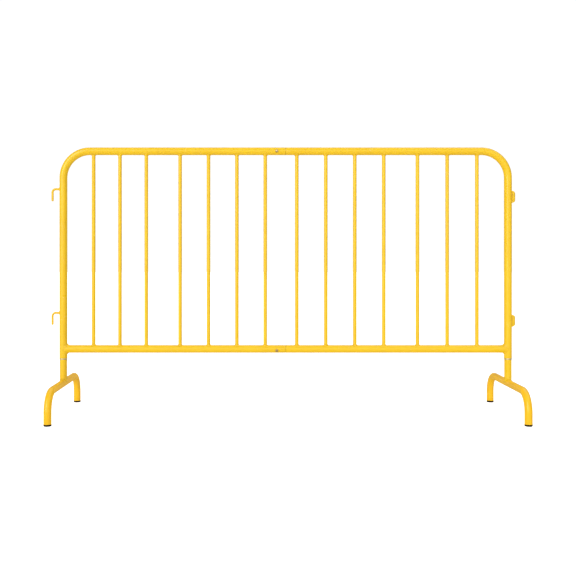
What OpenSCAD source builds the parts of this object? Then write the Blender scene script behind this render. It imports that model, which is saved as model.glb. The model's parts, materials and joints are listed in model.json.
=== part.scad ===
// Crowd control barrier: a tube panel in two halves on two turning feet.
// Millimetres. +X runs along the panel towards the keepers, -Y is the front,
// +Z is up. The origin is on the floor under the middle of the panel.

/* [Panel] */
// Height of the barrier from the floor to the top of the top rail
panel_height = 1100; // [1000:10:1200]
// Distance between the centre lines of the two uprights
panel_span = 1840; // [1780:10:1980]
// Outside diameter of the frame tube
frame_od = 32; // [31.6:0.1:34]
// Wall of the frame tube
frame_wall = 1.5; // [1.2:0.1:1.9]
// Centre-line radius of the two top corners
corner_radius = 110; // [90:1:118]
// Height of the bottom rail's centre line
bottom_rail_z = 266; // [255:1:320]

/* [Bars] */
// Outside diameter of an infill bar
bar_od = 15; // [12:0.5:20]
// Wall of an infill bar
bar_wall = 1.2; // [1:0.1:2]
// Left half: upright centre line to the first bar
left_margin = 125; // [112:1:130]
// Left half: spacing inside the outer group of three bars
left_outer_pitch = 109; // [100:1:110]
// Left half: space between the outer and the inner group
left_group_gap = 140; // [110:1:142]
// Left half: spacing inside the inner group of four bars
left_inner_pitch = 117.5; // [108:0.5:118]
// Right half: seam to the first bar
right_seam_gap = 46; // [38:1:48]
// Right half: spacing inside the inner group of four bars
right_inner_pitch = 120; // [108:0.5:121]
// Right half: space between the inner and the outer group
right_group_gap = 139.5; // [110:0.5:141]
// Right half: spacing inside the outer group of three bars
right_outer_pitch = 123; // [108:0.5:124]

/* [Seam] */
// How far each rail sleeve reaches into a half, either side of the seam
sleeve_reach = 75; // [60:1:90]
// Running clearance on the radius of every fit that slides or turns
running_gap = 0.08; // [0.05:0.01:0.1]
// Distance of the snap buttons from the seam
button_offset = 37; // [34:1:39]
// Diameter of a snap button
button_d = 12; // [8:0.5:12]
// How far a snap button stands out of the frame tube
button_stand = 2.5; // [1.5:0.1:3]
// Turn of the lower snap button below the front
lower_button_turn = 24; // [0:1:45]

/* [Hooks and keepers] */
// Diameter of the hook rod
hook_rod_d = 9; // [8:0.5:9.5]
// Upright centre line to the prong's centre line
hook_reach = 45; // [38:1:60]
// Height of the upper hook arm's centre line
upper_hook_z = 927; // [820:1:930]
// Height of the lower hook arm's centre line
lower_hook_z = 415; // [380:1:480]
// Arm's centre line to the prong's tip
hook_drop = 50; // [35:1:60]
// Centre-line radius of the hook's bend
hook_bend = 13; // [10:1:18]
// Height of a keeper
keeper_height = 50; // [35:1:60]
// Thickness of a keeper's strap
keeper_thick = 3; // [2:0.5:4]
// Space inside a keeper across the strap
keeper_bore = 11; // [10.5:0.5:13]

/* [Feet] */
// Outside diameter of a foot bridge tube
bridge_od = 30; // [29.9:0.1:31]
// Wall of the foot tubes
foot_wall = 1.5; // [1.2:0.1:2]
// Outside diameter of a foot post
post_od = 29.8; // [29.4:0.1:29.8]
// Panel to the centre line of a foot's leg
foot_reach = 270; // [200:5:350]
// Height of a bridge tube's centre line
bridge_z = 125; // [115:1:140]
// Centre-line radius of a foot's bends
foot_bend = 76; // [60:1:80]
// Lower end of the uprights
upright_end_z = 227.5; // [215:0.5:232]
// Thickness of a stop ring
ring_thick = 4; // [3:0.5:6]
// How far a spigot reaches up into its upright
spigot_reach = 70; // [50:1:90]
// Part of a foot cap that shows below the tube
cap_show = 7; // [4:0.5:10]

/* [Hidden] */
$fn = 64;
frame_r = frame_od / 2;
bore_r = frame_r - frame_wall;
half_span = panel_span / 2;
top_z = panel_height - frame_r;
sleeve_r = bore_r - running_gap;
sleeve_wall = 1.5;
sleeve_bore_r = sleeve_r - sleeve_wall;
bar_r = bar_od / 2;
hook_r = hook_rod_d / 2;
socket_x = half_span + frame_r + keeper_bore / 2;
keeper_drop = 7;
keeper_corner = 14;
bridge_r = bridge_od / 2;
post_r = post_od / 2;
post_bore_r = post_r - foot_wall;
post_top_z = upright_end_z - ring_thick;
spigot_foot = 40;
cap_plug = 18;
button_r = button_d / 2;
button_fit = 0.1;
button_flange_r = button_r + 1;
button_flange_t = 1.2;
// The flange stops under the sleeve's bore, where its rim would meet it
button_flange_y = sqrt(pow(sleeve_bore_r, 2) - pow(button_flange_r, 2)) - 0.2;
leaf_t = 0.8;
leaf_w = 9;
leaf_back_y = sqrt(pow(sleeve_bore_r, 2) - pow(leaf_w / 2, 2));
leaf_front_y = button_flange_y - button_flange_t;
leaf_len = 32;

// Bars of each half, numbered from the left
left_bar_x = [
    -half_span + left_margin,
    -half_span + left_margin + left_outer_pitch,
    -half_span + left_margin + 2 * left_outer_pitch,
    -half_span + left_margin + 2 * left_outer_pitch + left_group_gap,
    -half_span + left_margin + 2 * left_outer_pitch + left_group_gap + left_inner_pitch,
    -half_span + left_margin + 2 * left_outer_pitch + left_group_gap + 2 * left_inner_pitch,
    -half_span + left_margin + 2 * left_outer_pitch + left_group_gap + 3 * left_inner_pitch
];
right_bar_x = [
    right_seam_gap,
    right_seam_gap + right_inner_pitch,
    right_seam_gap + 2 * right_inner_pitch,
    right_seam_gap + 3 * right_inner_pitch,
    right_seam_gap + 3 * right_inner_pitch + right_group_gap,
    right_seam_gap + 3 * right_inner_pitch + right_group_gap + right_outer_pitch,
    right_seam_gap + 3 * right_inner_pitch + right_group_gap + 2 * right_outer_pitch
];

paint = [0.98, 0.78, 0.12];
zinc = [0.78, 0.79, 0.80];
spring_steel = [0.55, 0.57, 0.60];
rubber = [0.06, 0.06, 0.06];

// ---- shared shapes ----

// A round rod along +X, starting at the origin
module rod_x(length, r) {
    rotate([0, 90, 0])
        cylinder(h = length, r = r);
}

// A round rod along +Y, starting at the origin
module rod_y(length, r) {
    rotate([-90, 0, 0])
        cylinder(h = length, r = r);
}

// The solid core of a half hoop: upright, corner and half of the top rail.
// It runs over its two open ends by the length given.
module hoop_core(r, over) {
    // the part of the top rail in this half
    translate([-half_span + corner_radius, 0, top_z])
        rod_x(half_span - corner_radius + over, r);
    // the corner
    translate([-half_span + corner_radius, 0, top_z - corner_radius])
        rotate([90, 0, 0])
            rotate([0, 0, 90])
                rotate_extrude(angle = 90)
                    translate([corner_radius, 0])
                        circle(r = r);
    // the upright
    translate([-half_span, 0, upright_end_z - over])
        cylinder(h = top_z - corner_radius - upright_end_z + over, r = r);
}

// A round hole along the snap button's way, through the front wall of a rail
module button_hole(z, turn, r) {
    translate([-button_offset, 0, z])
        rotate([turn, 0, 0])
            translate([0, -frame_r - 5, 0])
                rod_y(frame_r + 5, r);
}

// ---- the two halves ----

module left_hoop() {
    color(paint)
        difference() {
            hoop_core(frame_r, 0);
            hoop_core(bore_r, 1);
            button_hole(top_z, 0, button_r + 0.6);
        }
}

module right_hoop() {
    color(paint)
        mirror([1, 0, 0])
            difference() {
                hoop_core(frame_r, 0);
                hoop_core(bore_r, 1);
            }
}

// A bottom rail from its coped end on the upright to the seam
module rail_half() {
    difference() {
        translate([-half_span, 0, bottom_rail_z])
            rod_x(half_span, frame_r);
        translate([-half_span - 1, 0, bottom_rail_z])
            rod_x(half_span + 2, bore_r);
        translate([-half_span, 0, bottom_rail_z - 2 * frame_r])
            cylinder(h = 4 * frame_r, r = frame_r);
    }
}

module left_bottom_rail() {
    color(paint)
        difference() {
            rail_half();
            button_hole(bottom_rail_z, lower_button_turn, button_r + 0.6);
        }
}

module right_bottom_rail() {
    color(paint)
        mirror([1, 0, 0])
            rail_half();
}

// An infill bar at x, both ends coped to sit on the rails
module bar(x) {
    color(paint)
        difference() {
            translate([x, 0, bottom_rail_z])
                cylinder(h = top_z - bottom_rail_z, r = bar_r);
            translate([x, 0, bottom_rail_z - 1])
                cylinder(h = top_z - bottom_rail_z + 2, r = bar_r - bar_wall);
            translate([x - 2 * bar_r, 0, bottom_rail_z])
                rod_x(4 * bar_r, frame_r);
            translate([x - 2 * bar_r, 0, top_z])
                rod_x(4 * bar_r, frame_r);
        }
}

// A bent rod: arm welded on the upright, prong pointing down
module hook(z) {
    prong_x = -half_span - hook_reach;
    color(paint)
        difference() {
            union() {
                translate([prong_x + hook_bend, 0, z])
                    rod_x(hook_reach - hook_bend, hook_r);
                translate([prong_x + hook_bend, 0, z - hook_bend])
                    rotate([90, 0, 0])
                        rotate([0, 0, 90])
                            rotate_extrude(angle = 90)
                                translate([hook_bend, 0])
                                    circle(r = hook_r);
                translate([prong_x, 0, z - hook_drop + 1.5])
                    cylinder(h = hook_drop - hook_bend - 1.5, r = hook_r);
                translate([prong_x, 0, z - hook_drop])
                    cylinder(h = 1.5, r1 = hook_r - 1.5, r2 = hook_r);
            }
            translate([-half_span, 0, z - 2 * hook_rod_d])
                cylinder(h = 4 * hook_rod_d, r = frame_r);
        }
}

module upper_hook() {
    hook(upper_hook_z);
}

module lower_hook() {
    hook(lower_hook_z);
}

// A strap bent round a socket and welded to the upright, its outer corners
// rounded in the side view
module keeper(top) {
    outer_r = keeper_bore / 2 + keeper_thick;
    tip_x = socket_x + outer_r;
    color(paint)
        difference() {
            intersection() {
                union() {
                    translate([socket_x, 0, top - keeper_height])
                        cylinder(h = keeper_height, r = outer_r);
                    translate([half_span, -outer_r, top - keeper_height])
                        cube([socket_x - half_span, 2 * outer_r, keeper_height]);
                }
                union() {
                    translate([half_span, -20, top - keeper_height])
                        cube([tip_x - keeper_corner - half_span, 40, keeper_height]);
                    translate([half_span, -20, top - keeper_height + keeper_corner])
                        cube([tip_x - half_span, 40, keeper_height - 2 * keeper_corner]);
                    translate([tip_x - keeper_corner, -20, top - keeper_corner])
                        rod_y(40, keeper_corner);
                    translate([tip_x - keeper_corner, -20, top - keeper_height + keeper_corner])
                        rod_y(40, keeper_corner);
                }
            }
            translate([socket_x, 0, top - keeper_height - 1])
                cylinder(h = keeper_height + 2, r = keeper_bore / 2);
            translate([half_span, -keeper_bore / 2, top - keeper_height - 1])
                cube([socket_x - half_span, keeper_bore, keeper_height + 2]);
            translate([half_span, 0, top - keeper_height - 1])
                cylinder(h = keeper_height + 2, r = frame_r);
        }
}

module upper_keeper() {
    keeper(upper_hook_z - keeper_drop);
}

module lower_keeper() {
    keeper(lower_hook_z - keeper_drop);
}

// ---- seam ----

// The inner tube that joins the halves of a rail: held in the left half by
// the snap button, a push fit in the right half
module rail_sleeve(z, turn) {
    color(zinc)
        difference() {
            translate([-sleeve_reach, 0, z])
                rod_x(2 * sleeve_reach, sleeve_r);
            translate([-sleeve_reach - 1, 0, z])
                rod_x(2 * sleeve_reach + 2, sleeve_bore_r);
            button_hole(z, turn, button_r + button_fit);
        }
}

module upper_rail_sleeve() {
    rail_sleeve(top_z, 0);
}

module lower_rail_sleeve() {
    rail_sleeve(bottom_rail_z, lower_button_turn);
}

// A domed pin on a flange that stops inside the sleeve
module snap_button(z, turn) {
    tip = frame_r + button_stand;
    dome = 2;
    color(zinc)
        translate([-button_offset, 0, z])
            rotate([90 + turn, 0, 0])
                rotate_extrude()
                    polygon([
                        [0, leaf_front_y],
                        [button_flange_r, leaf_front_y],
                        [button_flange_r, button_flange_y],
                        [button_r, button_flange_y],
                        [button_r, tip - dome],
                        [button_r * 0.93, tip - dome * 0.5],
                        [button_r * 0.74, tip - dome * 0.17],
                        [button_r * 0.42, tip],
                        [0, tip]
                    ]);
}

module upper_snap_button() {
    snap_button(top_z, 0);
}

module lower_snap_button() {
    snap_button(bottom_rail_z, lower_button_turn);
}

// A leaf folded into a U: its back leg lies on the sleeve, its front leg
// carries the button
module snap_spring(z, turn) {
    outer = (leaf_front_y + leaf_back_y) / 2;
    mid = (leaf_back_y - leaf_front_y) / 2;
    color(spring_steel)
        translate([-button_offset, 0, z])
            rotate([turn, 0, 0]) {
                translate([-button_flange_r, -leaf_front_y, -leaf_w / 2])
                    cube([leaf_len + button_flange_r, leaf_t, leaf_w]);
                translate([-button_flange_r, leaf_back_y - leaf_t, -leaf_w / 2])
                    cube([leaf_len + button_flange_r, leaf_t, leaf_w]);
                translate([leaf_len, mid, -leaf_w / 2])
                    rotate([0, 0, -90])
                        rotate_extrude(angle = 180)
                            translate([outer - leaf_t, 0])
                                square([leaf_t, leaf_w]);
            }
}

module upper_snap_spring() {
    snap_spring(top_z, 0);
}

module lower_snap_spring() {
    snap_spring(bottom_rail_z, lower_button_turn);
}

// ---- feet ----

// The loose ring that an upright stands on, between the spigot's shoulder
// and the foot post
module stop_ring(x) {
    color(zinc)
        translate([x, 0, post_top_z])
            difference() {
                cylinder(h = ring_thick, r = frame_r + 0.3);
                translate([0, 0, -1])
                    cylinder(h = ring_thick + 2, r = post_bore_r + running_gap);
            }
}

module left_stop_ring() {
    stop_ring(-half_span);
}

module right_stop_ring() {
    stop_ring(half_span);
}

// The tube that turns and slides in an upright: its thinner lower end is
// fixed in the foot post and carries the stop ring under the shoulder
module leg_spigot(x) {
    color(zinc)
        translate([x, 0, 0])
            difference() {
                union() {
                    translate([0, 0, post_top_z - spigot_foot])
                        cylinder(h = spigot_foot + ring_thick, r = post_bore_r);
                    translate([0, 0, upright_end_z])
                        cylinder(h = spigot_reach - 2, r = sleeve_r);
                    translate([0, 0, upright_end_z + spigot_reach - 2])
                        cylinder(h = 2, r1 = sleeve_r, r2 = sleeve_r - 1);
                }
                translate([0, 0, post_top_z - spigot_foot - 1])
                    cylinder(h = spigot_foot + ring_thick + spigot_reach + 2, r = post_bore_r - 1.5);
            }
}

module left_leg_spigot() {
    leg_spigot(-half_span);
}

module right_leg_spigot() {
    leg_spigot(half_span);
}

// The short upright tube of a foot, coped to sit on the bridge
module foot_post(x) {
    color(paint)
        difference() {
            translate([x, 0, bridge_z])
                cylinder(h = post_top_z - bridge_z, r = post_r);
            translate([x, 0, bridge_z - 1])
                cylinder(h = post_top_z - bridge_z + 2, r = post_bore_r);
            translate([x, -2 * post_od, bridge_z])
                rod_y(4 * post_od, bridge_r);
        }
}

module left_foot_post() {
    foot_post(-half_span);
}

module right_foot_post() {
    foot_post(half_span);
}

// The solid core of a bridge: a level tube with both ends bent down
module bridge_core(r, over) {
    translate([0, -foot_reach + foot_bend, bridge_z])
        rod_y(2 * (foot_reach - foot_bend), r);
    for (side = [0, 180])
        rotate([0, 0, side]) {
            translate([0, foot_reach - foot_bend, bridge_z - foot_bend])
                rotate([0, 90, 0])
                    rotate([0, 0, 90])
                        rotate_extrude(angle = 90)
                            translate([foot_bend, 0])
                                circle(r = r);
            translate([0, foot_reach, cap_show - over])
                cylinder(h = bridge_z - foot_bend - cap_show + over, r = r);
        }
}

module foot_bridge(x) {
    color(paint)
        translate([x, 0, 0])
            difference() {
                bridge_core(bridge_r, 0);
                bridge_core(bridge_r - foot_wall, 1);
            }
}

module left_foot_bridge() {
    foot_bridge(-half_span);
}

module right_foot_bridge() {
    foot_bridge(half_span);
}

// A cap with a disc under the tube and a ribbed plug inside it
module foot_cap(x, y) {
    plug_r = bridge_r - foot_wall;
    color(rubber)
        translate([x, y, 0])
            rotate_extrude()
                polygon([
                    [0, 0],
                    [bridge_r - 0.8, 0],
                    [bridge_r + 0.2, 1],
                    [bridge_r + 0.2, cap_show],
                    [plug_r - 0.6, cap_show],
                    [plug_r - 0.6, cap_show + 3],
                    [plug_r, cap_show + 4],
                    [plug_r - 0.6, cap_show + 5],
                    [plug_r - 0.6, cap_show + 8],
                    [plug_r, cap_show + 9],
                    [plug_r - 0.6, cap_show + 10],
                    [plug_r - 0.6, cap_show + 13],
                    [plug_r, cap_show + 14],
                    [plug_r - 0.6, cap_show + 15],
                    [plug_r - 1.2, cap_show + cap_plug],
                    [0, cap_show + cap_plug]
                ]);
}

module left_front_foot_cap() {
    foot_cap(-half_span, -foot_reach);
}

module left_rear_foot_cap() {
    foot_cap(-half_span, foot_reach);
}

module right_front_foot_cap() {
    foot_cap(half_span, -foot_reach);
}

module right_rear_foot_cap() {
    foot_cap(half_span, foot_reach);
}

// ---- assembly ----

left_hoop();
left_bottom_rail();
for (i = [1 : 7])
    bar(left_bar_x[i - 1]);
upper_hook();
lower_hook();
right_hoop();
right_bottom_rail();
for (i = [1 : 7])
    bar(right_bar_x[i - 1]);
upper_keeper();
lower_keeper();
upper_rail_sleeve();
lower_rail_sleeve();
upper_snap_button();
lower_snap_button();
upper_snap_spring();
lower_snap_spring();
left_stop_ring();
right_stop_ring();
left_leg_spigot();
right_leg_spigot();
left_foot_post();
right_foot_post();
left_foot_bridge();
right_foot_bridge();
left_front_foot_cap();
left_rear_foot_cap();
right_front_foot_cap();
right_rear_foot_cap();
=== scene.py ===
import json
import math

import bmesh
import bpy
import numpy as np
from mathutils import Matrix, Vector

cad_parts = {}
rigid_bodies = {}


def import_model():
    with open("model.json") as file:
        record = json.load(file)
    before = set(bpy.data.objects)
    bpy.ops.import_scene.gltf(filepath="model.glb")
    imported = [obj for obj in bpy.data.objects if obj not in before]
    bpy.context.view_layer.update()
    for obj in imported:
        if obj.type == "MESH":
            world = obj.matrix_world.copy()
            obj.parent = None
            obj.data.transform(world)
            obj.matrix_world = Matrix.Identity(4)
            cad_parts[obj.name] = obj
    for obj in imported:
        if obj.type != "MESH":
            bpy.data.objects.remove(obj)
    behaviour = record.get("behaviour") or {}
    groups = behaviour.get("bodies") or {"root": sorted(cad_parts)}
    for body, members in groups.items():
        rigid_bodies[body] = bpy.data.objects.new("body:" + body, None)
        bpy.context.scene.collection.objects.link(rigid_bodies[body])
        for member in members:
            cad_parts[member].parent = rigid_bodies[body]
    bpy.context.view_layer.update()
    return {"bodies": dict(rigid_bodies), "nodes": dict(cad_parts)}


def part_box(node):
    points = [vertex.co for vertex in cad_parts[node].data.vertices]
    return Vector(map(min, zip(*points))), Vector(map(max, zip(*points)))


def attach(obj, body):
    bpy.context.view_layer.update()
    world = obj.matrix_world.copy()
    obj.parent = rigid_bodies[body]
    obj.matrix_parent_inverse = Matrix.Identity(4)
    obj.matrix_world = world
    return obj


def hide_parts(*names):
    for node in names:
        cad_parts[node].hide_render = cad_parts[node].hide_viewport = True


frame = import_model()

X = np.array([1.0, 0.0, 0.0])
Y = np.array([0.0, 1.0, 0.0])
Z = np.array([0.0, 0.0, 1.0])


# Sizes that no box tells, in metres
TUBE_WALL = 0.0015
HOOP_BEND = 0.110
HOOK_BEND = 0.013
FOOT_BEND = 0.076
KEEPER_PLATE = 0.003
KEEPER_CORNER = 0.014
SEAM_GAP = 0.0004
BUTTON_DOME = 0.0022
BODY = {"left": "left_frame", "right": "right_frame"}


# ---------------------------------------------------------------- measures

def box(node):
    """Low and high corner of a CAD node."""
    low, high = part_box(node)
    return np.array(low, float), np.array(high, float)


class Tube:
    """Sizes read from the boxes of the CAD nodes, in metres."""

    low, high = box("left_hoop")
    frame_r = (high[1] - low[1]) / 2
    left_x = low[0] + frame_r
    right_x = box("right_hoop")[1][0] - frame_r
    top_z = high[2] - frame_r
    upright_end = low[2]
    seam_x = high[0]
    rail_z = (box("left_bottom_rail")[0][2] + box("left_bottom_rail")[1][2]) / 2


# ------------------------------------------------------------- mesh making

def mesh_object(name, vertices, faces):
    """A new mesh object in the scene."""
    mesh = bpy.data.meshes.new(name)
    mesh.from_pydata([tuple(v) for v in vertices], [], faces)
    mesh.update()
    piece = bpy.data.objects.new(name, mesh)
    bpy.context.scene.collection.objects.link(piece)
    return piece


def clean(piece, sharp_deg=38):
    """Merges doubled points, turns faces outward and shades smooth but for sharp edges."""
    work = bmesh.new()
    work.from_mesh(piece.data)
    bmesh.ops.remove_doubles(work, verts=work.verts, dist=2e-6)
    bmesh.ops.dissolve_degenerate(work, edges=work.edges, dist=1e-7)
    bmesh.ops.recalc_face_normals(work, faces=work.faces)
    limit = math.radians(sharp_deg)
    for face in work.faces:
        face.smooth = True
    for edge in work.edges:
        if len(edge.link_faces) == 2:
            edge.smooth = edge.calc_face_angle(0.0) < limit
    work.to_mesh(piece.data)
    work.free()
    return piece


def from_rings(name, rings, closed=False, capped=True):
    """A skin over a row of equal rings, each a loop of points."""
    count, sides = len(rings), len(rings[0])
    faces = []
    for i in range(count if closed else count - 1):
        a, b = i * sides, ((i + 1) % count) * sides
        for j in range(sides):
            k = (j + 1) % sides
            faces.append((a + j, a + k, b + k, b + j))
    if capped and not closed:
        faces.append(tuple(range(sides - 1, -1, -1)))
        faces.append(tuple((count - 1) * sides + j for j in range(sides)))
    return clean(mesh_object(name, np.concatenate(rings), faces))


def circle(centre, u, v, radius, sides):
    """A loop of points round centre, in the plane of u and v."""
    angle = np.linspace(0, 2 * np.pi, sides, endpoint=False)[:, None]
    return centre + radius * (np.cos(angle) * u + np.sin(angle) * v)


def bent_line(corners, radii, step):
    """Points and directions along straight runs joined by arcs."""
    points, ways = [], []

    def run(a, b):
        way = (b - a) / np.linalg.norm(b - a)
        for t in np.linspace(0, 1, max(2, int(np.linalg.norm(b - a) / step) + 1)):
            points.append(a + (b - a) * t)
            ways.append(way)

    start = corners[0]
    for i in range(1, len(corners) - 1):
        corner, radius = corners[i], radii[i - 1]
        into = (corner - corners[i - 1]) / np.linalg.norm(corner - corners[i - 1])
        out = (corners[i + 1] - corner) / np.linalg.norm(corners[i + 1] - corner)
        half = math.acos(float(np.clip(np.dot(into, out), -1, 1))) / 2
        trim = radius * math.tan(half)
        side = (out - into * np.dot(into, out))
        side /= np.linalg.norm(side)
        run(start, corner - into * trim)
        centre = corner - into * trim + side * radius
        for t in np.linspace(0, 2 * half, 25)[1:-1]:
            points.append(centre - side * radius * math.cos(t) + into * radius * math.sin(t))
            ways.append(into * math.cos(t) + side * math.sin(t))
        start = corner + out * trim
    run(start, corners[-1])
    return np.array(points), np.array(ways)


def keep_apart(points, ways):
    """Leaves out points that fall on the one before."""
    keep = [0]
    for i in range(1, len(points)):
        if np.linalg.norm(points[i] - points[keep[-1]]) > 1e-6:
            keep.append(i)
    return points[keep], ways[keep]


def hollow_tube(name, line, side, radius, wall, sides=64, lip=0.0005, cope=None):
    """A tube with a wall and rounded rims, along a flat line whose plane has normal side.
    cope, if given, tells how far each point of the last rim moves along the line, from
    how far it lies to the side."""
    points, ways = keep_apart(*line)
    outer, inner = [], []
    for point, way in zip(points, ways):
        v = np.cross(way, side)
        outer.append(circle(point, side, v, radius, sides))
        inner.append(circle(point, side, v, radius - wall, sides))
    turn = np.linspace(0, math.pi / 2, 4)

    def rim(at, way, outward):
        """Rings round the rim, from outside to inside."""
        v = np.cross(way, side)
        rings = []
        for t in turn:
            centre = at - outward * lip * (1 - math.sin(t))
            rings.append(circle(centre, side, v, radius - lip * (1 - math.cos(t)), sides))
        for t in turn[::-1]:
            centre = at - outward * lip * (1 - math.sin(t))
            rings.append(circle(centre, side, v, radius - wall + lip * (1 - math.cos(t)), sides))
        return rings

    first = rim(points[0], ways[0], -ways[0])
    last = rim(points[-1], ways[-1], ways[-1])
    if cope is not None:
        for i, loop in enumerate(last):
            across = (loop - points[-1]) @ side
            last[i] = loop + cope(across)[:, None] * ways[-1]
    rings = outer[1:-1] + last + inner[1:-1][::-1] + first[::-1]
    return from_rings(name, rings, closed=True)


def rod(name, line, side, radii, sides=40):
    """A solid round rod with its own radius at each point of its line."""
    points, ways = line
    rings = []
    for point, way, radius in zip(points, ways, radii):
        rings.append(circle(point, side, np.cross(way, side), radius, sides))
    return from_rings(name, rings)


def lathe(name, profile, origin, axis=Z, u=X, sides=64, closed=False):
    """A turned shape: profile is (radius, height) pairs along axis."""
    v = np.cross(axis, u)
    rings = [circle(origin + axis * h, u, v, max(r, 1e-7), sides) for r, h in profile]
    return from_rings(name, rings, closed=closed)


def rounded(profile, radius, steps=3):
    """Rounds the corners of a profile of (radius, height) pairs."""
    made = [profile[0]]
    for i in range(1, len(profile) - 1):
        a, b, c = (np.array(profile[j], float) for j in (i - 1, i, i + 1))
        back, on = a - b, c - b
        cut = min(radius, np.linalg.norm(back) * 0.45, np.linalg.norm(on) * 0.45)
        p, q = b + back / np.linalg.norm(back) * cut, b + on / np.linalg.norm(on) * cut
        for t in np.linspace(0, 1, steps + 1):
            made.append(tuple((1 - t) ** 2 * p + 2 * t * (1 - t) * b + t * t * q))
    made.append(profile[-1])
    return made


def plate_ring(centre, a, b, half_a, half_b, corner, steps=4):
    """A rounded oblong loop round centre, across a and b."""
    loop = []
    for sa, sb, start in ((1, 1, 0), (-1, 1, 90), (-1, -1, 180), (1, -1, 270)):
        for t in np.linspace(0, 90, steps):
            angle = math.radians(start + t)
            loop.append(centre + a * (sa * (half_a - corner) + corner * math.cos(angle))
                        + b * (sb * (half_b - corner) + corner * math.sin(angle)))
    return np.array(loop)


def saddle(radius):
    """The cope of a tube end that stands on a round tube of this radius."""
    return lambda across: -np.sqrt(np.maximum(radius ** 2 - across ** 2, 0.0))


def cut_hole(piece, at, way, radius):
    """Bores a round hole through one wall."""
    tool = lathe("hole_tool", [(radius, 0.0), (radius, 0.03)], at, axis=way, u=X, sides=48)
    cut = piece.modifiers.new("hole", "BOOLEAN")
    cut.operation = "DIFFERENCE"
    cut.solver = "EXACT"
    cut.object = tool
    seen = bpy.context.evaluated_depsgraph_get()
    mesh = bpy.data.meshes.new_from_object(piece.evaluated_get(seen))
    piece.modifiers.clear()
    piece.data = mesh
    bpy.data.objects.remove(tool)
    return clean(piece)


# ------------------------------------------------------------------- welds

# How much a weld with long legs is hollowed, for each metre of leg over 10 mm
HOLLOW = 0.26


def fillet_weld(name, start, along, branch_r, main_axis, main_r, legs, crown=0.0006, pitch=0.0024,
                ripple=0.00018, seed=1):
    """A rippled bead round a branch tube where it stands on a main tube.
    legs(angle) gives the bead's legs up the branch and along the main tube, and
    crown is how far its face stands out of the straight line between them."""
    chance = np.random.default_rng(seed)
    u, v = main_axis, np.cross(along, main_axis)
    ripples = max(12, int(2 * math.pi * branch_r / pitch))
    phase = chance.uniform(0, 6.28, 4)
    rings = []
    for angle in np.linspace(0, 2 * math.pi, ripples * 6, endpoint=False):
        out = math.cos(angle) * u + math.sin(angle) * v
        rise = math.sqrt(max(main_r ** 2 - (branch_r * math.sin(angle)) ** 2, 0.0))
        foot = start + branch_r * out + along * rise
        across = foot - start - np.dot(foot - start, u) * u
        normal = across / np.linalg.norm(across)
        spread = out - np.dot(out, normal) * normal - 0.15 * math.sin(angle) ** 2 * along
        spread /= np.linalg.norm(spread)
        lift = out + normal
        lift /= np.linalg.norm(lift)
        wander = 1 + 0.08 * math.sin(3 * angle + phase[0]) + 0.05 * math.sin(8 * angle + phase[1])
        up, flat = (leg * wander for leg in legs(angle))
        smooth = min(1.0, 0.0085 / (up + flat)) ** 2
        top = foot + along * up
        low = foot + spread * flat
        around = low - start - np.dot(low - start, u) * u
        low = low - around + around / np.linalg.norm(around) * (main_r + 0.00002)
        knee = (top + low) / 2 + lift * 2 * (crown - HOLLOW * max(up + flat - 0.010, 0.0))
        loop = []
        for t in np.linspace(0, 1, 9):
            point = (1 - t) ** 2 * top + 2 * t * (1 - t) * knee + t * t * low
            swell = math.sin(math.pi * t)
            drift = 0.8 * math.sin(5 * angle + phase[3])
            wave = math.sin(ripples * angle + 1.2 * swell + phase[2] + drift)
            loop.append(point + lift * swell * ripple * smooth * wave)
        loop.append(foot - lift * 0.0010)
        rings.append(np.array(loop))
    return from_rings(name, rings, closed=True)


def straight_weld(name, a, b, out, width, height, pitch=0.0026, ripple=0.00015, seed=1):
    """A rippled bead from a to b that stands out from the corner it fills."""
    chance = np.random.default_rng(seed)
    way = (b - a) / np.linalg.norm(b - a)
    across = np.cross(way, out)
    length = np.linalg.norm(b - a)
    count = int(length / pitch) * 6
    phase = chance.uniform(0, 6.28, 2)
    rings = []
    for i, t in enumerate(np.linspace(0, 1, count)):
        end = min(1.0, math.sqrt(max(1 - (abs(2 * t - 1)) ** 14, 0.0)) + 0.02)
        swell = end * (1 + 0.07 * math.sin(9 * t + phase[0]))
        loop = []
        for angle in np.linspace(0, 2 * math.pi, 14, endpoint=False):
            drift = 0.9 * math.sin(11 * t + phase[1])
            wave = ripple * math.sin(2 * math.pi * length * t / pitch + 1.4 * math.cos(angle) + drift)
            edge = across * width * math.sin(angle) + out * height * math.cos(angle)
            loop.append(a + way * length * t + edge * swell * (1 + wave / height))
        rings.append(np.array(loop))
    return from_rings(name, rings)


# --------------------------------------------------------------- materials

def new_material(name):
    """A material with its nodes, links and main shader."""
    material = bpy.data.materials.new(name)
    material.use_nodes = True
    nodes, links = material.node_tree.nodes, material.node_tree.links
    return material, nodes, links, nodes["Principled BSDF"]


def place(nodes):
    """Where a point lies on the object: its own coordinates, in metres."""
    return nodes.new("ShaderNodeTexCoord").outputs["Object"]


def noise(nodes, links, where, scale, detail=3.0, rough=0.5, stretch=None):
    """Cloudy values about 0.5, scale of them to a metre."""
    if stretch is not None:
        mapping = nodes.new("ShaderNodeMapping")
        mapping.inputs["Scale"].default_value = stretch
        links.new(where, mapping.inputs["Vector"])
        where = mapping.outputs["Vector"]
    made = nodes.new("ShaderNodeTexNoise")
    made.inputs["Scale"].default_value = scale
    made.inputs["Detail"].default_value = detail
    made.inputs["Roughness"].default_value = rough
    links.new(where, made.inputs["Vector"])
    return made.outputs["Fac"]


def spread_range(nodes, links, value, low, high, to_low=0.0, to_high=1.0):
    """Stretches low..high to to_low..to_high, and holds it there."""
    made = nodes.new("ShaderNodeMapRange")
    made.inputs["From Min"].default_value = low
    made.inputs["From Max"].default_value = high
    made.inputs["To Min"].default_value = to_low
    made.inputs["To Max"].default_value = to_high
    links.new(value, made.inputs["Value"])
    return made.outputs["Result"]


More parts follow.
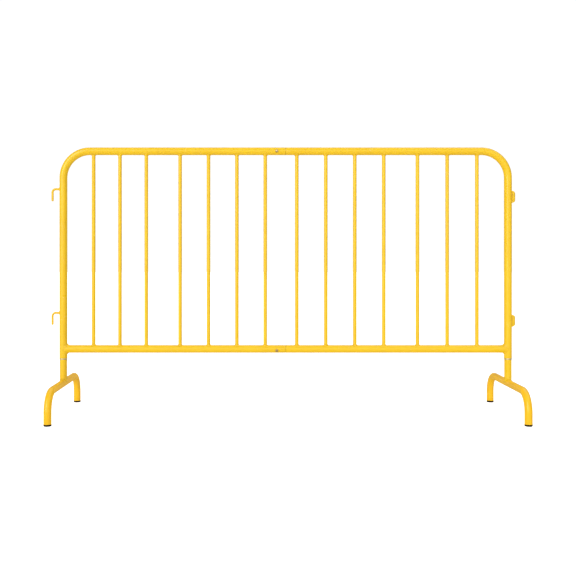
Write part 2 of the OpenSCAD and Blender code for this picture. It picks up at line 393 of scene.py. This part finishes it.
def blend_colour(nodes, links, amount, first, second):
    """From the first colour to the second by amount."""
    made = nodes.new("ShaderNodeMix")
    made.data_type = "RGBA"
    links.new(amount, made.inputs["Factor"])
    for socket, colour in ((made.inputs[6], first), (made.inputs[7], second)):
        if isinstance(colour, tuple):
            socket.default_value = (*colour, 1.0)
        else:
            links.new(colour, socket)
    return made.outputs[2]


def times(nodes, links, a, b):
    made = nodes.new("ShaderNodeMath")
    made.operation = "MULTIPLY"
    for socket, value in zip(made.inputs, (a, b)):
        if isinstance(value, float):
            socket.default_value = value
        else:
            links.new(value, socket)
    return made.outputs[0]


def bump(nodes, links, height, strength, distance, under=None):
    made = nodes.new("ShaderNodeBump")
    made.inputs["Strength"].default_value = strength
    made.inputs["Distance"].default_value = distance
    links.new(height, made.inputs["Height"])
    if under is not None:
        links.new(under, made.inputs["Normal"])
    return made.outputs["Normal"]


def cells(nodes, links, where, scale):
    """Distance to the nearest line of a random net."""
    made = nodes.new("ShaderNodeTexVoronoi")
    made.feature = "DISTANCE_TO_EDGE"
    made.inputs["Scale"].default_value = scale
    links.new(where, made.inputs["Vector"])
    return made.outputs["Distance"]


def plus(nodes, links, a, b):
    made = nodes.new("ShaderNodeMath")
    made.operation = "ADD"
    made.use_clamp = True
    links.new(a, made.inputs[0])
    links.new(b, made.inputs[1])
    return made.outputs[0]


def powder_coat(name, colour, deep, wear=0.0, peel=0.18, rough=(0.27, 0.40)):
    """Glossy paint over steel: patchy depth of colour, orange peel, specks of dust,
    hairline scratches, and chips down to the primer, more of them near the floor."""
    material, nodes, links, shader = new_material(name)
    where = place(nodes)
    patches = spread_range(nodes, links, noise(nodes, links, where, 8.0, 4.0), 0.35, 0.68)
    tone = blend_colour(nodes, links, patches, colour, deep)
    mottle = spread_range(nodes, links, noise(nodes, links, where, 75.0, 3.0), 0.42, 0.72, 0.0, 0.22)
    tone = blend_colour(nodes, links, mottle, tone, tuple(c * 0.88 for c in deep))
    speck = spread_range(nodes, links, noise(nodes, links, where, 520.0, 1.0), 0.72, 0.78, 0.0, 0.25)
    tone = blend_colour(nodes, links, speck, tone, (0.30, 0.20, 0.03))
    line = spread_range(nodes, links, cells(nodes, links, where, 24.0), 0.0, 0.009, 1.0, 0.0)
    only = spread_range(nodes, links, noise(nodes, links, where, 33.0, 2.0), 0.60 - wear, 0.66 - wear)
    scratch = times(nodes, links, line, only)
    tone = blend_colour(nodes, links, times(nodes, links, scratch, 0.6), tone, (0.90, 0.74, 0.34))
    axes = nodes.new("ShaderNodeSeparateXYZ")
    links.new(where, axes.inputs[0])
    low = spread_range(nodes, links, axes.outputs["Z"], 0.004, 0.040, 0.13, 0.0)
    spots = plus(nodes, links, noise(nodes, links, where, 130.0, 5.0, 0.62), low)
    chip = spread_range(nodes, links, spots, 0.745 - wear, 0.755 - wear)
    tone = blend_colour(nodes, links, chip, tone, (0.115, 0.105, 0.095))
    links.new(tone, shader.inputs["Base Color"])
    gloss = spread_range(nodes, links, noise(nodes, links, where, 28.0, 5.0), 0.3, 0.7, *rough)
    marks = times(nodes, links, plus(nodes, links, scratch, chip), 0.25)
    links.new(plus(nodes, links, gloss, marks), shader.inputs["Roughness"])
    wavy = bump(nodes, links, noise(nodes, links, where, 260.0, 2.0), peel, 0.00012)
    fine = bump(nodes, links, noise(nodes, links, where, 1200.0, 1.0), peel, 0.00002, wavy)
    film = spread_range(nodes, links, spots, 0.725 - wear, 0.755 - wear, 1.0, 0.0)
    links.new(bump(nodes, links, film, 0.5, 0.0003, fine), shader.inputs["Normal"])
    shader.inputs["Specular IOR Level"].default_value = 0.48
    shader.inputs["Coat Weight"].default_value = 0.12
    shader.inputs["Coat Roughness"].default_value = 0.18
    return material


def bare_metal(name, light, dark, rough, streak, seam_shade_x=None):
    """Plated or plain steel with drawn streaks and dull patches, and where a seam width is given
    a near-black band that far either side of the seam: painted shade for the gap between the halves."""
    material, nodes, links, shader = new_material(name)
    where = place(nodes)
    patches = spread_range(nodes, links, noise(nodes, links, where, 140.0, 5.0, 0.6), 0.35, 0.68)
    tone = blend_colour(nodes, links, patches, light, dark)
    if seam_shade_x is not None:
        axes = nodes.new("ShaderNodeSeparateXYZ")
        links.new(where, axes.inputs[0])
        away = nodes.new("ShaderNodeMath")
        away.operation = "ABSOLUTE"
        links.new(axes.outputs["X"], away.inputs[0])
        # Painted shade: a near-black band either side of the seam stands in for the shadowed gap between the
        # halves.
        seam_shade = spread_range(nodes, links, away.outputs[0], seam_shade_x * 0.6, seam_shade_x * 1.4, 1.0, 0.0)
        tone = blend_colour(nodes, links, seam_shade, tone, (0.060, 0.040, 0.020))
    links.new(tone, shader.inputs["Base Color"])
    shader.inputs["Metallic"].default_value = 1.0
    lines = noise(nodes, links, where, 500.0, 3.0, 0.6, stretch=streak)
    links.new(spread_range(nodes, links, lines, 0.3, 0.7, *rough), shader.inputs["Roughness"])
    links.new(bump(nodes, links, lines, 0.25, 0.00008), shader.inputs["Normal"])
    return material


def moulded_rubber(name):
    """Dull black rubber with a fine grain and some dust."""
    material, nodes, links, shader = new_material(name)
    where = place(nodes)
    dust = spread_range(nodes, links, noise(nodes, links, where, 90.0, 6.0, 0.7), 0.50, 0.75, 0.0, 0.5)
    tone = blend_colour(nodes, links, dust, (0.004, 0.004, 0.004), (0.014, 0.012, 0.011))
    links.new(tone, shader.inputs["Base Color"])
    grain = noise(nodes, links, where, 1400.0, 2.0)
    links.new(spread_range(nodes, links, grain, 0.3, 0.7, 0.55, 0.8), shader.inputs["Roughness"])
    links.new(bump(nodes, links, grain, 0.4, 0.00012), shader.inputs["Normal"])
    shader.inputs["Specular IOR Level"].default_value = 0.15
    return material


paint = powder_coat("yellow_powder_coat", (0.870, 0.560, 0.006), (0.850, 0.525, 0.005))
# A slightly darker copy of the yellow paint for the weld beads, rougher and with more orange peel: the darker
# tone is painted shade at the welds.
weld_shade_paint = powder_coat("painted_weld", (0.850, 0.535, 0.006), (0.810, 0.490, 0.005), wear=0.01, peel=0.35,
                         rough=(0.32, 0.48))
# A darker, browner copy of the yellow paint for the keeper welds: painted shade for the crease between keeper
# and upright.
crease_shade_paint = powder_coat("painted_crease_shade", (0.690, 0.400, 0.008), (0.580, 0.320, 0.008), wear=0.03, peel=0.35,
                           rough=(0.35, 0.55))
# A brighter, more orange copy of the yellow paint for the foot bridges: painted light on their sides.
bridge_lit_paint = powder_coat("yellow_powder_coat_bridge_lit", (0.940, 0.542, 0.004), (0.915, 0.512, 0.003))
scuffed_paint = powder_coat("scuffed_powder_coat", (0.865, 0.555, 0.006), (0.815, 0.505, 0.005), wear=0.06)
zinc = bare_metal("zinc_plate", (0.86, 0.81, 0.68), (0.70, 0.65, 0.53), (0.38, 0.56), (1.0, 1.0, 8.0))
# The sleeve carries a near-black band at the seam: painted shade for the gap between the halves.
sleeve_zinc = bare_metal("zinc_sleeve", (0.66, 0.65, 0.62), (0.50, 0.49, 0.46), (0.30, 0.50), (8.0, 1.0, 1.0),
                         seam_shade_x=0.0022)
button_zinc = bare_metal("zinc_button", (0.82, 0.63, 0.33), (0.60, 0.45, 0.23), (0.48, 0.64), (1.0, 1.0, 1.0))
spring_steel = bare_metal("spring_steel", (0.42, 0.42, 0.44), (0.30, 0.30, 0.32), (0.25, 0.40), (8.0, 1.0, 1.0))
rubber = moulded_rubber("black_rubber")


def finish_piece(piece, body, material, slot, *nodes):
    """Gives a piece its material and its moving body, and hides the CAD nodes it stands for."""
    piece.data.materials.clear()
    piece.data.materials.append(material)
    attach(piece, body)
    if nodes:
        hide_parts(*nodes)
    return piece


# ------------------------------------------------------------------- panel

def button_facts(which):
    """Centre of a snap button's rail at the button, and the way it points out."""
    low, high = box(f"{which}_snap_button")
    rail_z = Tube.top_z if which == "upper" else Tube.rail_z
    centre = np.array([(low[0] + high[0]) / 2, 0.0, rail_z])
    way = (low + high) / 2 - centre
    way[0] = 0.0
    return centre, way / np.linalg.norm(way)


def button_radius(which):
    """A snap button's pin is 1 mm inside its flange."""
    low, high = box(f"{which}_snap_button")
    return (high[0] - low[0]) / 2 - 0.001


def half_ends(side):
    """Where a half's rails end at the seam, and where its upright stands."""
    if side == "left":
        return Tube.seam_x - SEAM_GAP, Tube.left_x
    return Tube.seam_x + SEAM_GAP, Tube.right_x


def half_hoop(side):
    """One upright, one top corner and half of the top rail, with the button's hole."""
    end, upright_x = half_ends(side)
    corners = [np.array([end, 0, Tube.top_z]), np.array([upright_x, 0, Tube.top_z]),
               np.array([upright_x, 0, Tube.upright_end])]
    points, ways = bent_line(corners, [HOOP_BEND], 0.012)
    if side == "left":
        at, way = button_facts("upper")
        near = abs(points[:, 0] - at[0]) < 0.014
        near &= points[:, 2] > Tube.top_z - 1e-6
        fine = np.arange(at[0] + 0.013, at[0] - 0.0131, -0.0008)
        extra = np.array([[x, 0, Tube.top_z] for x in fine])
        first = int(np.argmax(near))
        after = first + int(near.sum())
        points = np.concatenate([points[:first], extra, points[after:]])
        ways = np.concatenate([ways[:first], np.tile(-X, (len(extra), 1)), ways[after:]])
    piece = hollow_tube(f"{side}_hoop_tube", (points, ways), Y, Tube.frame_r, TUBE_WALL)
    if side == "left":
        cut_hole(piece, at, way, button_radius("upper") + 0.0006)
    return finish_piece(piece, BODY[side], paint, "yellow_paint", f"{side}_hoop")


def half_rail(side):
    """Half of the bottom rail, shaped to the upright at its outer end."""
    end, upright_x = half_ends(side)
    away = -1 if side == "left" else 1
    at, way = button_facts("lower")
    marks = np.linspace(end, upright_x - away * 0.024, 70)
    if side == "left":
        fine = list(np.arange(at[0] - 0.013, at[0] + 0.0131, 0.0008))
        marks = [m for m in marks if abs(m - at[0]) > 0.0135]
        marks = np.array(sorted(marks + fine, reverse=True))
    points = np.array([[m, 0, Tube.rail_z] for m in marks] + [[upright_x, 0, Tube.rail_z]])
    ways = np.tile(X * away, (len(points), 1))
    piece = hollow_tube(f"{side}_rail_tube", (points, ways), Y, Tube.frame_r, TUBE_WALL,
                        cope=saddle(Tube.frame_r - 0.0004))
    if side == "left":
        cut_hole(piece, at, way, button_radius("lower") + 0.0006)
    return finish_piece(piece, BODY[side], paint, "yellow_paint", f"{side}_bottom_rail")


def infill_bar(node, body):
    """A bar shaped to both rails, with a bead at each end."""
    low, high = box(node)
    x, r = (low[0] + high[0]) / 2, (high[0] - low[0]) / 2
    heights = np.linspace(Tube.rail_z + Tube.frame_r + 0.004, Tube.top_z - Tube.frame_r - 0.004, 40)
    angle = np.linspace(0, 2 * np.pi, 40, endpoint=False)
    flat = np.stack([x + r * np.cos(angle), r * np.sin(angle), np.zeros(40)], axis=1)
    rise = np.sqrt(Tube.frame_r ** 2 - flat[:, 1] ** 2) - 0.0003
    rings = [flat + np.outer(Tube.rail_z + rise, Z)]
    for h in heights:
        rings.append(flat + h * Z)
    rings.append(flat + np.outer(Tube.top_z - rise, Z))
    piece = from_rings(f"{node}_tube", rings)
    finish_piece(piece, body, paint, "yellow_paint", node)
    seed = sum(ord(c) for c in node)
    for end, rail_z, way in (("top", Tube.top_z, -Z), ("foot", Tube.rail_z, Z)):
        bead = fillet_weld(f"{node}_{end}_weld", np.array([x, 0, rail_z]), way, r, X, Tube.frame_r,
                           lambda angle: (0.0028, 0.0026), seed=seed)
        finish_piece(bead, body, weld_shade_paint, "yellow_paint")


def rail_weld(side):
    """The weld of rail and upright: a long smooth sweep above, a shorter one below."""
    upright_x = Tube.left_x if side == "left" else Tube.right_x
    way = X if side == "left" else -X

    def legs(angle):
        top = max(0.0, math.cos(angle)) ** 3
        under = max(0.0, -math.cos(angle)) ** 2
        return 0.0032 + 0.0145 * top + 0.0042 * under, 0.0032 + 0.0070 * top + 0.0036 * under

    bead = fillet_weld(f"{side}_rail_weld", np.array([upright_x, 0, Tube.rail_z]), way, Tube.frame_r - 0.0001,
                       Z, Tube.frame_r, legs, seed=5)
    finish_piece(bead, BODY[side], weld_shade_paint, "yellow_paint")


for side in ("left", "right"):
    half_hoop(side)
    half_rail(side)
    rail_weld(side)
    for number in range(1, 8):
        infill_bar(f"{side}_bar_{number}", BODY[side])


# ------------------------------------------------------- hooks and keepers

def hook(which):
    """A bent rod welded to the left upright, its prong down and rounded."""
    low, high = box(f"{which}_hook")
    r = (high[1] - low[1]) / 2
    arm_z, prong_x = high[2] - r, low[0] + r
    corners = [np.array([Tube.left_x - Tube.frame_r + 0.0015, 0, arm_z]), np.array([prong_x, 0, arm_z]),
               np.array([prong_x, 0, low[2]])]
    points, ways = bent_line(corners, [HOOK_BEND], 0.002)
    points, ways = keep_apart(points, ways)
    round_tip = 0.0032
    turn = np.linspace(0, math.pi / 2, 7)
    tip = [points[-1] - ways[-1] * round_tip * (1 - math.sin(t)) for t in turn]
    tip_radii = [r - round_tip * (1 - math.cos(t)) for t in turn]
    keep = np.linalg.norm(points - points[-1], axis=1) > round_tip
    line = (np.array(list(points[keep]) + tip), np.array(list(ways[keep]) + [ways[-1]] * len(tip)))
    piece = rod(f"{which}_hook_rod", line, Y, [r] * int(keep.sum()) + tip_radii)
    finish_piece(piece, "left_frame", scuffed_paint, "yellow_paint", f"{which}_hook")
    bead = fillet_weld(f"{which}_hook_weld", np.array([Tube.left_x, 0, arm_z]), -X, r, Z, Tube.frame_r,
                       lambda angle: (0.0032, 0.0032), seed=11)
    finish_piece(bead, "left_frame", weld_shade_paint, "yellow_paint")


def keeper(which):
    """A strap bent to a U and welded to the right upright by both legs."""
    low, high = box(f"{which}_keeper")
    thick, corner = KEEPER_PLATE, KEEPER_CORNER
    mid_r = (high[1] - low[1]) / 2 - thick / 2
    socket_x = high[0] - mid_r - thick / 2
    top, foot, tip = high[2], low[2], high[0]
    line = []
    start_x = Tube.right_x + math.sqrt(Tube.frame_r ** 2 - mid_r ** 2) - 0.0012
    for t in np.linspace(0, 1, 8)[:-1]:
        line.append((np.array([start_x + (socket_x - start_x) * t, -mid_r, 0]), X))
    for t in np.linspace(-90, 90, 31):
        a = math.radians(t)
        line.append((np.array([socket_x + mid_r * math.cos(a), mid_r * math.sin(a), 0]),
                     np.array([-math.sin(a), math.cos(a), 0])))
    for t in np.linspace(0, 1, 8)[1:]:
        line.append((np.array([socket_x + (start_x - socket_x) * t, mid_r, 0]), -X))
    rings = []
    for point, way in line:
        reach = max(0.0, point[0] + thick / 2 - (tip - corner))
        drop = corner - math.sqrt(max(corner ** 2 - reach ** 2, 0.0))
        half = (top - foot) / 2 - drop
        centre = point + Z * (top + foot) / 2
        rings.append(plate_ring(centre, np.cross(way, Z), Z, thick / 2, half, 0.0009))
    piece = from_rings(f"{which}_keeper_strap", rings)
    finish_piece(piece, "right_frame", scuffed_paint, "yellow_paint", f"{which}_keeper")
    for name, sign in (("front", -1), ("rear", 1)):
        y = sign * (mid_r + thick / 2)
        x = Tube.right_x + math.sqrt(Tube.frame_r ** 2 - y ** 2)
        out = np.array([0.8, sign * 0.6, 0])
        bead = straight_weld(f"{which}_keeper_{name}_weld", np.array([x, y, foot + 0.003]),
                             np.array([x, y, top - 0.003]), out, 0.0036, 0.0022, seed=21 + sign)
        # The keeper welds take the darker crease paint: painted shade beside the upright.
        finish_piece(bead, "right_frame", crease_shade_paint, "yellow_paint")


for which in ("upper", "lower"):
    hook(which)
    keeper(which)


# -------------------------------------------------------------------- seam

def rail_sleeve(which):
    """The tube inside both halves of a rail, with the button's hole."""
    low, high = box(f"{which}_rail_sleeve")
    centre, way = button_facts(which)
    r = (high[1] - low[1]) / 2
    fine = list(np.arange(centre[0] - 0.013, centre[0] + 0.0131, 0.0009))
    marks = [m for m in np.linspace(low[0], high[0], 31) if abs(m - centre[0]) > 0.0135]
    points = np.array([[m, 0, centre[2]] for m in sorted(marks + fine)])
    line = (points, np.tile(X, (len(points), 1)))
    piece = hollow_tube(f"{which}_sleeve_tube", line, Y, r, TUBE_WALL, lip=0.0007)
    cut_hole(piece, centre, way, button_radius(which) + 0.0003)
    finish_piece(piece, "left_frame", sleeve_zinc, "zinc_plate", f"{which}_rail_sleeve")


def snap_button(which):
    """A domed pin on a flange. Returns how far the flange's back is from the rail's middle."""
    centre, way = button_facts(which)
    low, high = box(f"{which}_snap_button")
    flange_r = (high[0] - low[0]) / 2
    r, flange = button_radius(which), 0.0012
    node = frame["nodes"][f"{which}_snap_button"]
    heights = [float(np.dot(np.array(v.co) - centre, way)) for v in node.data.vertices]
    base, tip = min(heights), max(heights)
    turn = np.linspace(0, math.pi / 2, 12)
    dome = [(r * math.cos(t), tip - BUTTON_DOME * (1 - math.sin(t))) for t in turn]
    profile = [(0.0, base), (flange_r, base), (flange_r, base + flange), (r, base + flange)]
    piece = lathe(f"{which}_button_pin", rounded(profile + dome[:1], 0.0003)[:-1] + dome, centre, axis=way)
    finish_piece(piece, f"{which}_button", button_zinc, "zinc_plate", f"{which}_snap_button")
    return base


def snap_spring(which, front):
    """A folded leaf: front leg under the button, back leg on the sleeve."""
    centre, way = button_facts(which)
    low, high = box(f"{which}_snap_spring")
    across = np.cross(way, X)
    leaf, width = 0.0008, 0.009
    sleeve_r = (box(f"{which}_rail_sleeve")[1][1] - box(f"{which}_rail_sleeve")[0][1]) / 2 - TUBE_WALL
    back = -math.sqrt(sleeve_r ** 2 - (width / 2) ** 2)
    ahead, behind = front - leaf / 2, back + leaf / 2
    bend = (ahead - behind) / 2
    x0, x1 = low[0], high[0] - bend - leaf / 2
    middle = centre * (0, 1, 1)
    points = [middle + X * x + way * ahead for x in np.linspace(x0, x1, 10)]
    ways = [X] * 10
    for t in np.linspace(0, math.pi, 24)[1:-1]:
        depth = (ahead + behind) / 2 + bend * math.cos(t)
        points.append(middle + X * (x1 + bend * math.sin(t)) + way * depth)
        ways.append(X * math.cos(t) - way * math.sin(t))
    for x in np.linspace(x1, x0, 10):
        points.append(middle + X * x + way * behind)
        ways.append(-X)
    rings = []
    for point, along in zip(points, ways):
        rings.append(plate_ring(point, np.cross(along, across), across, leaf / 2, width / 2, 0.00035))
    piece = from_rings(f"{which}_spring_leaf", rings)
    finish_piece(piece, "left_frame", spring_steel, "spring_steel", f"{which}_snap_spring")


for which in ("upper", "lower"):
    rail_sleeve(which)
    snap_spring(which, snap_button(which))


# -------------------------------------------------------------------- feet

def foot_bridge(side):
    """The tube that bends down to the floor at both ends. Returns x, its radius, the
    height of its middle, the height of its ends."""
    low, high = box(f"{side}_foot_bridge")
    x, r = (low[0] + high[0]) / 2, (high[0] - low[0]) / 2
    reach, bridge_z, end = high[1] - r, high[2] - r, low[2]
    corners = [np.array([x, -reach, end]), np.array([x, -reach, bridge_z]), np.array([x, reach, bridge_z]),
               np.array([x, reach, end])]
    line = bent_line(corners, [FOOT_BEND, FOOT_BEND], 0.012)
    piece = hollow_tube(f"{side}_bridge_tube", line, X, r, TUBE_WALL)
    # The bridge takes the brighter, more orange paint: painted light on its sides.
    finish_piece(piece, f"{side}_foot", bridge_lit_paint, "yellow_paint", f"{side}_foot_bridge")
    return x, r, bridge_z, end


def foot_post(side, x, r, bridge_z):
    """The short tube on the bridge, with its bead. Returns its radius."""
    low, high = box(f"{side}_foot_post")
    post_r, post_top = (high[0] - low[0]) / 2, high[2]
    marks = np.linspace(post_top, bridge_z + r + 0.004, 12)
    points = np.array([[x, 0, m] for m in marks] + [[x, 0, bridge_z]])
    line = (points, np.tile(-Z, (len(points), 1)))
    piece = hollow_tube(f"{side}_post_tube", line, X, post_r, TUBE_WALL, cope=saddle(r - 0.0003))
    finish_piece(piece, f"{side}_foot", paint, "yellow_paint", f"{side}_foot_post")

    def legs(angle):
        leg = 0.0034 + 0.0028 * abs(math.cos(angle))
        return leg, leg

    bead = fillet_weld(f"{side}_post_weld", np.array([x, 0, bridge_z]), Z, post_r, Y, r, legs, seed=31)
    finish_piece(bead, f"{side}_foot", weld_shade_paint, "yellow_paint")
    return post_r


def spigot_and_ring(side, x, post_r):
    """The tube that goes up inside the upright, and the washer it carries."""
    low, high = box(f"{side}_leg_spigot")
    ring_low, ring_high = box(f"{side}_stop_ring")
    r_top, r_foot = (high[0] - low[0]) / 2, post_r - TUBE_WALL
    bore = r_foot - 0.0015
    outside = [(bore, low[2]), (r_foot, low[2]), (r_foot, ring_high[2]), (r_top, ring_high[2]),
               (r_top, high[2] - 0.002), (r_top - 0.001, high[2]), (bore, high[2]), (bore, low[2])]
    profile = rounded(outside, 0.0004)[1:-1]
    piece = lathe(f"{side}_spigot_tube", profile, np.array([x, 0, 0]), closed=True)
    finish_piece(piece, f"{side}_foot", zinc, "zinc_plate", f"{side}_leg_spigot")

    ring_r = (ring_high[0] - ring_low[0]) / 2
    inside = r_foot + 0.0001
    outline = [(inside, ring_low[2]), (ring_r, ring_low[2]), (ring_r, ring_high[2]), (inside, ring_high[2]),
               (inside, ring_low[2])]
    profile = rounded(outline, 0.0007)[1:-1]
    profile += [(inside, ring_high[2] - 0.0005), (inside, ring_low[2] + 0.0005)]
    piece = lathe(f"{side}_stop_washer", profile, np.array([x, 0, 0]), closed=True)
    finish_piece(piece, f"{side}_ring", zinc, "zinc_plate", f"{side}_stop_ring")


def foot_cap(side, end_name, x, r, end):
    """A rubber cap with a tread below and a ribbed plug inside the tube."""
    node = f"{side}_{end_name}_foot_cap"
    low, high = box(node)
    cap_r, y = (high[0] - low[0]) / 2, (low[1] + high[1]) / 2
    plug = r - TUBE_WALL
    treads = [(0.0, 0.0006), (0.0035, 0.0006), (0.0037, 0.0), (0.0062, 0.0), (0.0064, 0.0006), (0.0082, 0.0006),
              (0.0084, 0.0), (0.0112, 0.0)]
    outline = treads + [(cap_r - 0.0012, 0.0), (cap_r, 0.0012), (cap_r, end), (plug - 0.0005, end)]
    ribs = []
    for k in range(3):
        h = end + 0.003 + 0.005 * k
        ribs += [(plug - 0.0006, h), (plug, h + 0.001), (plug - 0.0006, h + 0.002)]
    profile = rounded(outline, 0.0006)[:-1] + ribs + [(plug - 0.0012, high[2]), (0.0, high[2])]
    piece = lathe(f"{side}_{end_name}_cap", profile, np.array([x, y, 0]))
    finish_piece(piece, f"{side}_foot", rubber, "black_rubber", node)


for side in ("left", "right"):
    x, r, bridge_z, end = foot_bridge(side)
    post_r = foot_post(side, x, r, bridge_z)
    spigot_and_ring(side, x, post_r)
    for end_name in ("front", "rear"):
        foot_cap(side, end_name, x, r, end)


# ------------------------------------------------------- floor, light, view

# Brightness of the surround on the object, and of the backdrop behind it
SURROUND = 0.24
BACKDROP = 1.05


def stage_floor():
    """The floor goes with the left stop ring, so it stays under the feet when
    the panel is lifted off them."""
    half = 30.0
    corners = [(-half, -half, 0), (half, -half, 0), (half, half, 0), (-half, half, 0)]
    floor = mesh_object("studio_floor", corners, [(0, 1, 2, 3)])
    material, nodes, links, shader = new_material("pale_floor")
    where = place(nodes)
    patches = spread_range(nodes, links, noise(nodes, links, where, 3.0, 3.0), 0.3, 0.7)
    tone = blend_colour(nodes, links, patches, (0.93, 0.93, 0.93), (0.90, 0.90, 0.90))
    links.new(tone, shader.inputs["Base Color"])
    shader.inputs["Roughness"].default_value = 0.9
    shader.inputs["Specular IOR Level"].default_value = 0.1
    shader.inputs["Emission Color"].default_value = (1.0, 1.0, 1.0, 1.0)
    shader.inputs["Emission Strength"].default_value = 0.62
    dull = nodes.new("ShaderNodeBsdfDiffuse")
    path = nodes.new("ShaderNodeLightPath")
    bounced = blend_colour(nodes, links, path.outputs["Is Glossy Ray"], (0.96, 0.94, 0.88), (0.40, 0.35, 0.26))
    links.new(bounced, dull.inputs["Color"])
    choose = nodes.new("ShaderNodeMixShader")
    links.new(path.outputs["Is Camera Ray"], choose.inputs["Fac"])
    links.new(dull.outputs[0], choose.inputs[1])
    links.new(shader.outputs[0], choose.inputs[2])
    links.new(choose.outputs[0], nodes["Material Output"].inputs["Surface"])
    floor.data.materials.append(material)
    floor.parent = frame["bodies"]["left_ring"]


def soft_sun(name, azimuth, elevation, strength, spread, glossy=True):
    """An even light from far off; azimuth 0 shines from the front and 90 from the right.
    Without glossy it gives no highlight."""
    light = bpy.data.lights.new(name, "SUN")
    light.energy = strength
    light.angle = math.radians(spread)
    lamp = bpy.data.objects.new(name, light)
    lamp.rotation_euler = (math.radians(90 - elevation), 0, math.radians(azimuth))
    lamp.visible_glossy = glossy
    bpy.context.scene.collection.objects.link(lamp)


def studio():
    """A white backdrop, an even grey surround, and soft boxes as suns."""
    world = bpy.data.worlds.new("studio")
    bpy.context.scene.world = world
    world.use_nodes = True
    nodes, links = world.node_tree.nodes, world.node_tree.links
    surround = nodes["Background"]
    surround.inputs["Color"].default_value = (1.0, 1.0, 1.0, 1.0)
    surround.inputs["Strength"].default_value = SURROUND
    backdrop = nodes.new("ShaderNodeBackground")
    backdrop.inputs["Color"].default_value = (1.0, 1.0, 1.0, 1.0)
    backdrop.inputs["Strength"].default_value = BACKDROP
    choose = nodes.new("ShaderNodeMixShader")
    links.new(nodes.new("ShaderNodeLightPath").outputs["Is Camera Ray"], choose.inputs["Fac"])
    links.new(surround.outputs[0], choose.inputs[1])
    links.new(backdrop.outputs[0], choose.inputs[2])
    links.new(choose.outputs[0], nodes["World Output"].inputs["Surface"])
    for number, elevation in enumerate((4, 22, 40)):
        soft_sun(f"key_strip_{number}", -36, elevation, 0.67, 26)
    soft_sun("front", 8, 5, 0.84, 60)
    soft_sun("side", 68, 56, 0.62, 50)
    soft_sun("back", 170, 62, 0.6, 50)
    soft_sun("rear_right", 152, 12, 1.20, 24, glossy=False)
    soft_sun("rear_left", -154, 12, 0.80, 24, glossy=False)
    bpy.context.scene.view_settings.view_transform = "Standard"


def camera():
    """A level camera in front of the panel, a little left of its middle."""
    focal_px, frame_px = 855.0, 576.0
    data = bpy.data.cameras.new("camera")
    data.sensor_width = 36.0
    data.lens = focal_px / frame_px * data.sensor_width
    data.shift_x = 30.7 / frame_px
    data.shift_y = -32.6 / frame_px
    data.dof.use_dof = False
    view = bpy.data.objects.new("camera", data)
    view.location = (-0.1175, -3.54, 0.653)
    view.rotation_euler = (math.pi / 2, 0, 0)
    bpy.context.scene.collection.objects.link(view)
    bpy.context.scene.camera = view


stage_floor()
studio()
camera()
